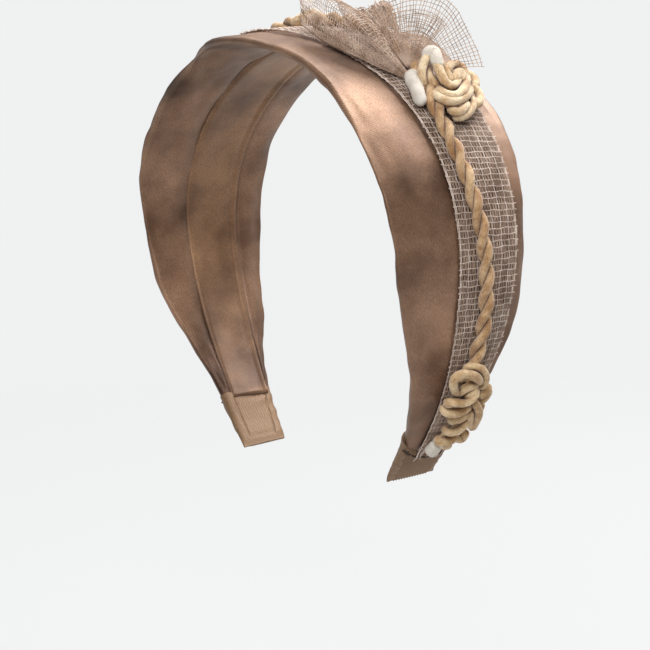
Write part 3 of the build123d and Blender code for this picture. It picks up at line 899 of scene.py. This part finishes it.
# %% White cotton pieces
def wrapping(name, start, end, radius, taper, body, node):
    """A stub of wound cotton from start to end, each given as (s, y, lift)."""
    a, b = (on_band(*[np.float64(v) for v in place]) for place in (start, end))
    length = float(np.linalg.norm(b - a))
    bpy.ops.mesh.primitive_uv_sphere_add(segments=36, ring_count=28, radius=1.0)
    piece = bpy.context.object
    piece.name = name
    mesh = piece.data
    points = np.array([v.co for v in mesh.vertices])
    t = points[:, 2].copy()
    around = np.arctan2(points[:, 1], points[:, 0])
    full = np.sqrt(np.clip(1 - t**6, 0, 1)) / np.sqrt(np.clip(1 - t**2, 1e-4, 1))
    wound = 1 - 0.5 * taper * (t + 1) + 0.05 * np.sin(2 * around + 3 * t) + 0.03 * np.sin(7 * t - around)
    wound -= 0.26 * np.exp(-(((t + 0.5 + 0.3 * np.sin(around + 0.6)) / 0.1) ** 2))
    points[:, :2] *= (full * wound * radius * MM)[:, None]
    points[:, 2] *= length / 2
    axis = (b - a) / length
    side_way = np.cross(axis, (0.0, 1.0, 0.0))
    side_way /= np.linalg.norm(side_way)
    points = (a + b) / 2 + points @ np.array([side_way, np.cross(axis, side_way), axis])
    mesh.vertices.foreach_set("co", points.ravel())
    mesh.update()
    bpy.ops.object.shade_smooth()
    mesh.materials.append(cotton)
    fasten(piece, "white_cotton", body, node)


wrapping("throat_wrapping", (56.1, -5.2, 3.7), (68.8, -8.4, 3.0), 2.5, 0.25, "crown", "bow_binding")
for side, arm in ARMS:
    wrapping(f"cord_stub_{arm}", (side * 171.0, -1.0, 3.2), (side * 176.8, -1.9, 2.6), 2.1, 0.1, f"{arm}_arm",
             f"cord_end_{arm}")
TIP_LOOP = [(56.9, -2.1, 8.6), (55.9, -1.1, 9.2), (55.4, 0, 9.5), (55.7, 0.8, 9.4), (57.0, 0.5, 9.3),
    (58.8, 0.1, 9.2), (60.6, -0.3, 8.8)]
TIP_SWELL = ([0, 0.18, 0.4, 0.7, 1], [1.2, 1.9, 2.3, 2.0, 1.35])
line = smooth_line(on_band(*np.array(TIP_LOOP, float).T))
swell = np.interp(np.linspace(0, 1, len(line)), *TIP_SWELL) * MM
dip = spin_yarn("loop_tip_dip", [line], [swell], [cotton], sides=20)
fasten(dip, "white_cotton", "crown", "loop_tip_binding")
print("wrappings made")

# %% [markdown]
# A row of dark hand stitches holds the mouth of each cap.  Every stitch is a short thread that
# rises a little between the two places where it goes into the cloth.

# %% Cap stitches
STITCH, STITCH_PITCH = 3.2, 3.5
STITCH_LIFT = CAP_STEP * 0.3 + 0.2
for side, arm in ARMS:
    mid = sway_at(side * (CAP_AT + 4))
    lines = []
    for y0 in np.arange(-8.9, 8.0, STITCH_PITCH):
        y = np.linspace(y0, y0 + STITCH, 12)
        arc = 0.3 * np.sin(np.linspace(0, math.pi, 12))
        s = side * (CAP_AT + 0.5 + straight(MOUTH[side], y))
        lines.append(on_band(s, y + mid, STITCH_LIFT + arc))
    piece = spin_yarn(f"cap_stitches_{arm}_thread", lines, [0.24 * MM] * len(lines), [stitch_thread], sides=8)
    fasten(piece, "dark_thread", f"{arm}_arm", f"cap_stitches_{arm}")
print("caps stitched")

# %% [markdown]
# The bow is more of the same net, gathered at its throat.  Each layer is woven over a curved
# surface whose threads all run into the throat, and rest_on_band keeps the rolled lobe and the
# tuft from sinking into the band.  A lobe of real net bends at the throat.

# %% Tools for the bow
def rest_on_band(points, gap):
    """Push points, in mm, up to a small gap over the band's outer face where they sink into it."""
    crown = np.array([0.0, OUTER_TOP - ARCS[0][0]])
    turn = math.radians(ARCS[0][1])
    shoulder = crown + (ARCS[0][0] - ARCS[1][0]) * np.array([math.sin(turn), math.cos(turn)])
    flat = points[..., [0, 2]]
    past = np.arctan2(flat[..., 0] - crown[0], flat[..., 1] - crown[1]) > turn
    centre = np.where(past[..., None], shoulder, crown)
    radius = np.where(past, ARCS[1][0], ARCS[0][0])
    arm = flat - centre
    far = np.linalg.norm(arm, axis=-1)
    angle = np.arctan2(arm[..., 0], arm[..., 1])
    s = np.where(past, ARCS[0][0] * turn + ARCS[1][0] * (angle - turn), ARCS[0][0] * angle)
    floor = radius + face_height(s, points[..., 1]) + gap
    raised = np.where(far < floor, floor, far)
    out = points.copy()
    out[..., [0, 2]] = centre + arm * (raised / far)[..., None]
    return out


def part_of_bow(piece, node):
    """Hide the CAD node that a net of the bow replaces, if any, and bake its placement into its mesh."""
    if node:
        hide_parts(node)
    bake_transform(piece)


print("bow tools ready")

# %% [markdown]
# The front lobe is rolled over into a soft tube that lies back along the crown.  Its surface is
# an oval that moves along a bent spine, with gathers that fade away from the throat.  A second
# layer inside it makes the net denser where the roll is turned in.

# %% The rolled lobe
WING_LONG = 60.0
WING_SPINE = [(52.8, -5.4, -10.8), (50.2, -8.2, -7.6), (46.6, -10.6, -4.2), (40.6, -12.2, -0.2),
    (33.4, -12.8, 3.4), (25.6, -12.4, 6.8), (17.5, -11.2, 10.2), (10.5, -9.8, 14.0)]
WING_SIZE = [(0.9, 0.9), (3.4, 2.8), (6.0, 4.6), (7.9, 5.8), (8.4, 6.2), (8.0, 6.0), (7.4, 5.6), (6.8, 5.2)]


def wing_layer(grow, phase):
    """One layer of the rolled lobe: a runs along it in mm, and b turns round it."""
    spine = smooth_line(np.array(WING_SPINE), 1.0)
    heading = np.gradient(spine, axis=0)
    heading /= np.linalg.norm(heading, axis=1, keepdims=True)
    at, size_at = np.linspace(0, 1, len(spine)), np.linspace(0, 1, len(WING_SIZE))

    def place(a, b, lift):
        short = 0.76 + 0.24 * np.cos(b - 1.3)
        t = np.clip(a / WING_LONG * short, 0, 1.05)
        centre, ahead = read_rows(at, spine, t), read_rows(at, heading, t)
        back = np.array([0.0, 1.0, 0.0]) - ahead * ahead[..., 1:2]
        back /= np.linalg.norm(back, axis=-1, keepdims=True)
        up = np.cross(ahead, back)
        up *= np.where(up[..., 2:3] < 0, -1.0, 1.0)
        folds = 0.16 * np.sin(4 * b + phase) + 0.08 * np.sin(9 * b + 2 * phase + 3 * t)
        gather = 1 + folds * (1 - 0.55 * t)
        size = read_rows(size_at, WING_SIZE, t) * grow * gather[..., None]
        wide = (size[..., 0] + lift) * np.cos(b)
        high = (size[..., 1] + lift) * np.sin(b)
        flare = 1.5 * np.clip(t - 0.8, 0, 1) * np.sin(3 * b + phase)
        points = centre + back * (wide + flare)[..., None] + up * high[..., None]
        return rest_on_band(points, 1.1 + 0.4 * (1 - grow) + lift) * MM

    return place


part_of_bow(weave("wing_net_outer", wing_layer(1.0, 0.6), 42, 46, (0.0, WING_LONG), (-0.4, 5.1), 0.75, 0.05,
                  wander=0.2, loose=2.0),
            "net_wing")
part_of_bow(weave("wing_net_inner", wing_layer(0.88, 2.1), 22, 34, (0.0, WING_LONG * 0.97), (2.9, 5.4), 0.75,
                  0.05, wander=0.35, loose=3.0, yarns=(bow_yarn, warp_yarn)),
            None)
print("lobe rolled")

# %% [markdown]
# The other lobe stands up behind the knot like a fan.  Its net is spread by angle from the
# throat and cupped a little, and a shorter layer stands at its back.

# %% The upright lobe
FAN_ROOT = np.array([51.2, -3.4, -9.0])
FAN_SPREAD = np.array([0.56, 0.83, 0.0])
FAN_RISE = np.array([-0.08, 0.05, 0.995])
FAN_REACH = [(-0.35, 0.96), (0.1, 1.01), (0.53, 1.03), (0.75, 0.99), (0.9, 0.945), (1.05, 0.92),
    (1.25, 0.92), (1.42, 0.95), (1.56, 0.99)]


def fan_layer(cup, away):
    """A layer of the fan: a runs out from the throat in mm, and b is the angle across it."""
    facing = np.cross(FAN_SPREAD, FAN_RISE)

    def place(a, b, lift):
        share = a / 21.0
        waves = cup * np.sin(2.1 * b + 0.4) * share**2 + 0.9 * np.sin(6.0 * b + away) * share**2
        out = (waves + away * share + lift)[..., None]
        reach = a * straight(FAN_REACH, b)
        across = FAN_SPREAD * (reach * np.sin(b))[..., None]
        return (FAN_ROOT + across + FAN_RISE * (reach * np.cos(b))[..., None] + facing * out) * MM

    return place


part_of_bow(weave("fan_net", fan_layer(2.6, 0.0), 38, 18, (1.0, 21.5), (-0.35, 1.56), 0.6, 0.03,
                  wander=0.15, loose=0.8),
            "net_fan")
part_of_bow(weave("fan_net_back", fan_layer(1.6, 1.6), 28, 13, (1.0, 16.0), (-0.6, 0.75), 0.6, 0.05,
                  wander=0.3, loose=2.0),
            None)
print("fan spread")

# %% [markdown]
# Between the lobes a small tuft pushes out: a gathered scrap of net, and loose threads of mixed
# lengths that droop at their tips.

# %% The tuft
TUFT_ROOT = np.array([50.0, -3.6, -8.0])
TUFT_SIDE = np.array([0.2, 1.0, 0.0])
TUFT_SPANS = ((14, 19), (21, 24), (25, 28), (27, 31))
TUFT_DROOP = np.array([-0.6, 0.0, -1.4]) * MM


def tuft_layer(a, b, lift):
    """The net between the lobes: a runs out from the throat in mm, b from 0 low to 1 upright."""
    heading = np.stack([-0.84 + 0.30 * b, 0.06 + 0.06 * b, 0.54 + 0.30 * b], -1)
    heading /= np.linalg.norm(heading, axis=-1, keepdims=True)
    wave = (1.2 * np.sin(7 * b + a / 12) + 0.6 * np.sin(15 * b + 1)) * a / 26.0 + lift
    points = TUFT_ROOT + heading * (a * (1 - 0.2 * b))[..., None] + TUFT_SIDE * wave[..., None]
    return rest_on_band(points, 1.3 + lift) * MM


tuft_net = weave("tuft_net", tuft_layer, 20, 15, (1.0, 25.0), (-0.05, 1.0), 0.7, 0.05, wander=0.35, loose=3.0,
                 yarns=(bow_yarn, warp_yarn))
fasten(tuft_net, "open_net", "wing_lobe")
tuft_lines = []
for _ in range(150):
    lean = chance.uniform(0, 1)
    far = np.array([chance.uniform(*span) for span in TUFT_SPANS])
    line = tuft_layer(far, np.full(4, lean) + chance.normal(0, 0.04, 4), np.zeros(4))
    line += chance.normal(0, 0.4 * MM, (4, 3))
    line[3] += TUFT_DROOP
    tuft_lines.append(smooth_line(line, 0.9 * MM))
tuft = spin_yarn("tuft_threads", tuft_lines, [0.12 * MM] * len(tuft_lines), [bow_yarn], sides=5)
fasten(tuft, "open_net", "wing_lobe", "bow_tuft")
print("tuft made of", len(tuft_lines), "threads and a net")

# %% [markdown]
# Last, a pale studio: a flat floor that partly glows, so that it looks even and white, a wide
# soft lamp above and behind, and a weaker one from the camera's right.  The sky is dark near the
# horizon and pale overhead, because satin mirrors it, but rays from the camera see it pale.

# %% Floor, lamps and camera
def seen_by(tree, *rays):
    """1 for these kinds of ray, and 0 for the rest."""
    path = add(tree, "ShaderNodeLightPath")
    share = path.outputs[rays[0]]
    for ray in rays[1:]:
        both = {0: share, 1: path.outputs[ray]}
        share = add(tree, "ShaderNodeMath", links=both, operation="MAXIMUM").outputs[0]
    return share


FLOOR_Z = -0.215
bpy.ops.mesh.primitive_plane_add(size=6.0, location=(0, 0, 0))
floor = bpy.context.object
floor.name = "studio_floor"
floor.data.transform(Matrix.Translation((0, 0, FLOOR_Z)))
floor_paint, tree, shader = surface("floor_paint", {"Roughness": 0.9, "Base Color": linear("b4b4b4")})
place = add(tree, "ShaderNodeTexCoord")
far = add(tree, "ShaderNodeVectorMath", links={0: place.outputs["Object"]}, operation="LENGTH")
fade = add(tree, "ShaderNodeMapRange", {"From Min": 0.42, "From Max": 0.95}, {"Value": far.outputs["Value"]},
           interpolation_type="SMOOTHSTEP")
paper = add(tree, "ShaderNodeValToRGB", links={"Fac": fade.outputs["Result"]},
            stops=((0.0, "f9fafa"), (1.0, "f0f1f1"))).outputs["Color"]
share = add(tree, "ShaderNodeMapRange", {"To Min": 0.8, "To Max": 1.0}, {"Value": fade.outputs["Result"]})
seen = seen_by(tree, "Is Camera Ray", "Is Glossy Ray", "Is Transmission Ray")
shown = add(tree, "ShaderNodeMath", links={0: seen, 1: share.outputs["Result"]}, operation="MULTIPLY")
glow = add(tree, "ShaderNodeEmission", {"Strength": 1.0}, {"Color": paper})
mixed = add(tree, "ShaderNodeMixShader", links={0: shown.outputs[0], 1: shader.outputs[0], 2: glow.outputs[0]})
tree.links.new(mixed.outputs[0], tree.nodes["Material Output"].inputs["Surface"])
floor.data.materials.append(floor_paint)

world = bpy.data.worlds.new("pale_sky")
world.use_nodes = True
bpy.context.scene.world = world
sky = world.node_tree
backdrop = sky.nodes["Background"]
backdrop.inputs["Color"].default_value = linear("f7f8f8")
way = add(sky, "ShaderNodeTexCoord")
height = add(sky, "ShaderNodeSeparateXYZ", links={0: way.outputs["Generated"]})
bright = add(sky, "ShaderNodeMapRange", {"From Min": 0.3, "From Max": 0.95, "To Min": 0.14, "To Max": 0.5},
             {"Value": height.outputs["Z"]}, interpolation_type="SMOOTHSTEP")
sky.links.new(bright.outputs["Result"], backdrop.inputs["Strength"])
plain_sky = add(sky, "ShaderNodeBackground", {"Color": linear("f0f1f1"), "Strength": 1.0})
seen = seen_by(sky, "Is Camera Ray", "Is Transmission Ray")
mixed = add(sky, "ShaderNodeMixShader", links={0: seen, 1: backdrop.outputs[0], 2: plain_sky.outputs[0]})
sky.links.new(mixed.outputs[0], sky.nodes["World Output"].inputs["Surface"])


def lamp(name, place, aim, size, power):
    light = bpy.data.lights.new(name, "AREA")
    light.shape = "DISK"
    light.size = size
    light.energy = power
    holder = bpy.data.objects.new(name, light)
    holder.location = place
    toward = np.array(aim, float) - np.array(place, float)
    holder.rotation_euler = Vector(toward).to_track_quat("-Z", "Y").to_euler()
    bpy.context.scene.collection.objects.link(holder)


lamp("top_lamp", (-0.02, 0.42, 0.63), (0, 0, -0.05), 0.7, 10.8)
lamp("front_lamp", (0.48, -0.42, 0.42), (0, 0, -0.05), 0.5, 4.0)

eye = bpy.data.cameras.new("camera")
eye.sensor_width = 36.0
eye.lens = 96.9
eye_holder = bpy.data.objects.new("camera", eye)
eye_holder.location = (0.4521, -0.3066, -0.0171)
eye_holder.rotation_euler = [math.radians(v) for v in (82.709, 2.116, 55.626)]
bpy.context.scene.collection.objects.link(eye_holder)
bpy.context.scene.camera = eye_holder
bpy.context.scene.view_settings.view_transform = "Standard"
print("studio ready")
